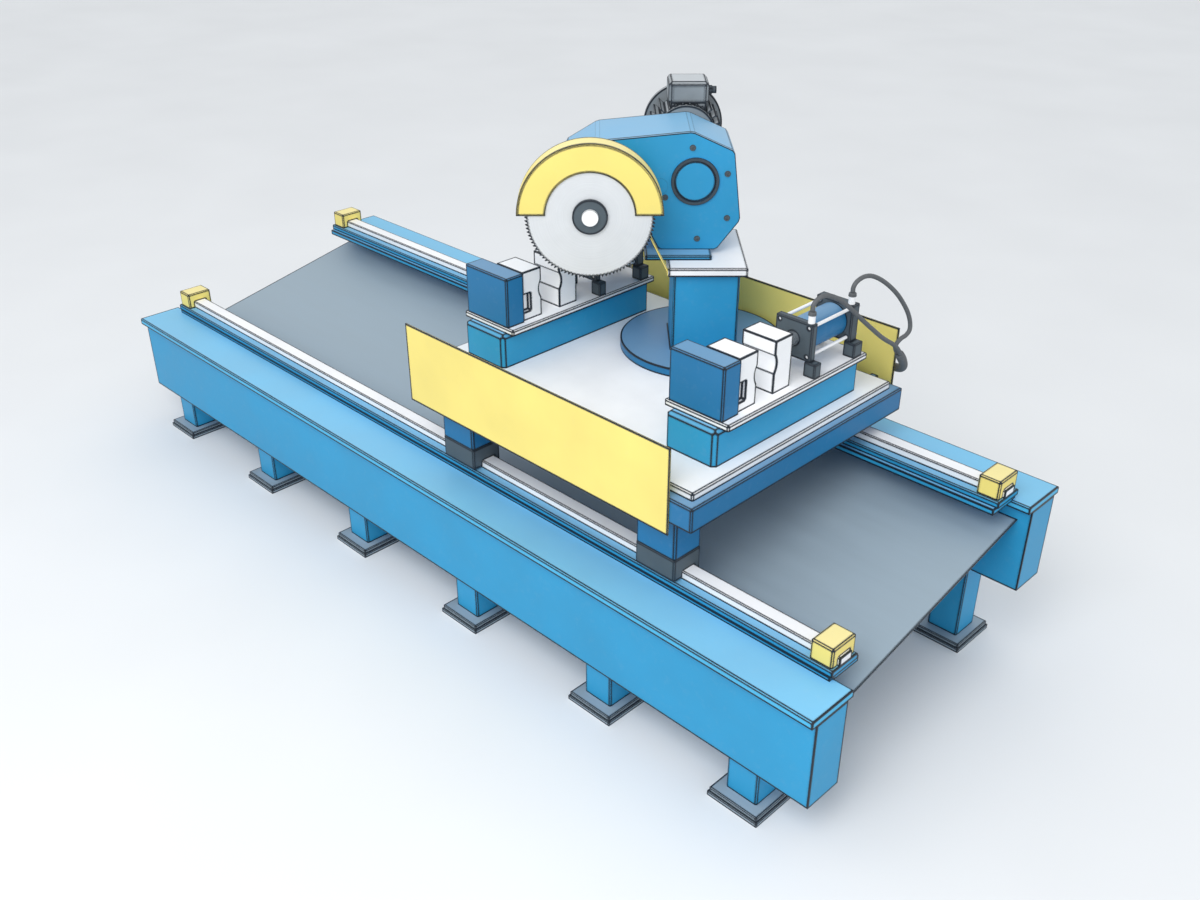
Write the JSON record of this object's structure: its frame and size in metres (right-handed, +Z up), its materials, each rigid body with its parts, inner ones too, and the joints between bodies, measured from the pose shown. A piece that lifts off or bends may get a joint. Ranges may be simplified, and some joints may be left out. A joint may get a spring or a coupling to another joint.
{
  "type": "travelling cold saw",
  "caption": "Travelling cold saw for round tube: carriage on a two-beam bed with two vices, a swivelling ram, a geared sawing head, a half-guarded blade and a flange motor.",
  "frame": {"origin": "middle of the bed, on the floor", "axes": "+X along the rails, +Y from the lower beam to the raised one, +Z up"},
  "size_m": [6, 2.125, 2.798],
  "materials": {
    "beam_paint": "satin",
    "cap_paint": "satin",
    "frame_paint": "satin",
    "head_paint": "satin",
    "guard_paint": "satin",
    "white_paint": "satin",
    "ground_steel": "ground",
    "sheet_steel": "matt",
    "slate_paint": "satin",
    "motor_paint": "satin",
    "rubber": "matt",
    "stator_iron": "matt",
    "blade_steel": "ground",
    "fan_plastic": "matt"
  },
  "bodies": {
    "bed": {"beams": "beam_paint", "beam_caps": "cap_paint", "rail_shelves": "beam_paint", "rail_plates": "beam_paint", "rails": "white_paint", "end_stops": "guard_paint", "legs": "beam_paint", "foot_plates": "sheet_steel", "cross_ties": "beam_paint", "tray_sheet": "sheet_steel"},
    "carriage": {"bearing_blocks": "slate_paint", "carriage_legs": "frame_paint", "carriage_frame": "frame_paint", "table": "white_paint", "guard_plates": "guard_paint", "vice_pedestals": "beam_paint", "vice_plates": "white_paint", "fixed_jaw_blocks": "frame_paint", "gripping_jaws": "white_paint", "cylinder_heads": "slate_paint", "cylinder_barrels": "frame_paint", "tie_rods": "white_paint", "hose_ports": "white_paint", "hoses": "rubber", "hose_sleeves": "rubber", "manifolds": "slate_paint"},
    "left_clamp": {"left_moving_jaw": "white_paint", "left_piston_rod": "ground_steel"},
    "right_clamp": {"right_moving_jaw": "white_paint", "right_piston_rod": "ground_steel"},
    "swivel": {"turntable": "frame_paint", "ram_guide": "slate_paint", "lift_cylinder": "slate_paint"},
    "head": {"ram": "head_paint", "lift_rod": "ground_steel", "head_plate": "white_paint", "chip_deflector": "guard_paint", "saddle_plate": "head_paint", "gearbox_casing": "head_paint", "gearbox_cover": "head_paint", "bearing_cover": "head_paint", "cover_screws": "slate_paint", "quill": "head_paint", "bearings": "ground_steel", "blade_guard": "guard_paint", "motor_housing": "motor_paint", "motor_shields": "motor_paint", "fan_cover": "motor_paint", "stator": "stator_iron", "terminal_box": "motor_paint", "cable_gland": "slate_paint"},
    "blade": {"spindle": "ground_steel", "saw_blade": "blade_steel", "outer_flange": "slate_paint", "spindle_nut": "white_paint"},
    "first_shaft": {"first_gear_shaft": "ground_steel"},
    "second_shaft": {"second_gear_shaft": "ground_steel"},
    "idler": {"idler_wheel": "ground_steel"},
    "rotor": {"motor_rotor": "ground_steel", "motor_fan": "fan_plastic"}
  },
  "joints": [
    {"name": "carriage_travel", "type": "slide", "parent": "bed", "child": "carriage", "axis": [1, 0, 0], "range_m": [-2.96, 0.79]},
    {"name": "left_clamp_stroke", "type": "slide", "parent": "carriage", "child": "left_clamp", "axis": [0, 1, 0], "range_m": [-0.12, 0.12]},
    {"name": "right_clamp_stroke", "type": "slide", "parent": "carriage", "child": "right_clamp", "axis": [0, 1, 0], "range_m": [-0.12, 0.12]},
    {"name": "head_swivel", "type": "hinge", "parent": "carriage", "child": "swivel", "pos_m": [1.045, 0.445, 1.432], "axis": [0, 0, 1], "range_deg": [0, 45]},
    {"name": "ram_feed", "type": "slide", "parent": "swivel", "child": "head", "axis": [0, 0, 1], "range_m": [-0.215, 0]},
    {"name": "blade_spin", "type": "hinge", "parent": "head", "child": "blade", "pos_m": [0.59952, -0.00048, 2.2872], "axis": [0.7071, -0.7071, 0], "continuous": true},
    {"name": "idler_spin", "type": "hinge", "parent": "head", "child": "idler", "pos_m": [0.74377, 0.14377, 2.34849], "axis": [0.7071, -0.7071, 0], "continuous": true},
    {"name": "second_shaft_spin", "type": "hinge", "parent": "head", "child": "second_shaft", "pos_m": [0.86228, 0.26228, 2.36001], "axis": [0.7071, -0.7071, 0], "continuous": true},
    {"name": "first_shaft_spin", "type": "hinge", "parent": "head", "child": "first_shaft", "pos_m": [0.9955, 0.3955, 2.3882], "axis": [0.7071, -0.7071, 0], "continuous": true},
    {"name": "rotor_spin", "type": "hinge", "parent": "head", "child": "rotor", "pos_m": [0.97554, 0.37555, 2.511], "axis": [0.7071, -0.7071, 0], "continuous": true}
  ],
  "couplings": [
    {"joint": "idler_spin", "follows": "blade_spin", "ratio": -0.775},
    {"joint": "second_shaft_spin", "follows": "blade_spin", "ratio": 1.9375},
    {"joint": "first_shaft_spin", "follows": "blade_spin", "ratio": -7.1759},
    {"joint": "rotor_spin", "follows": "blade_spin", "ratio": 28.282}
  ]
}
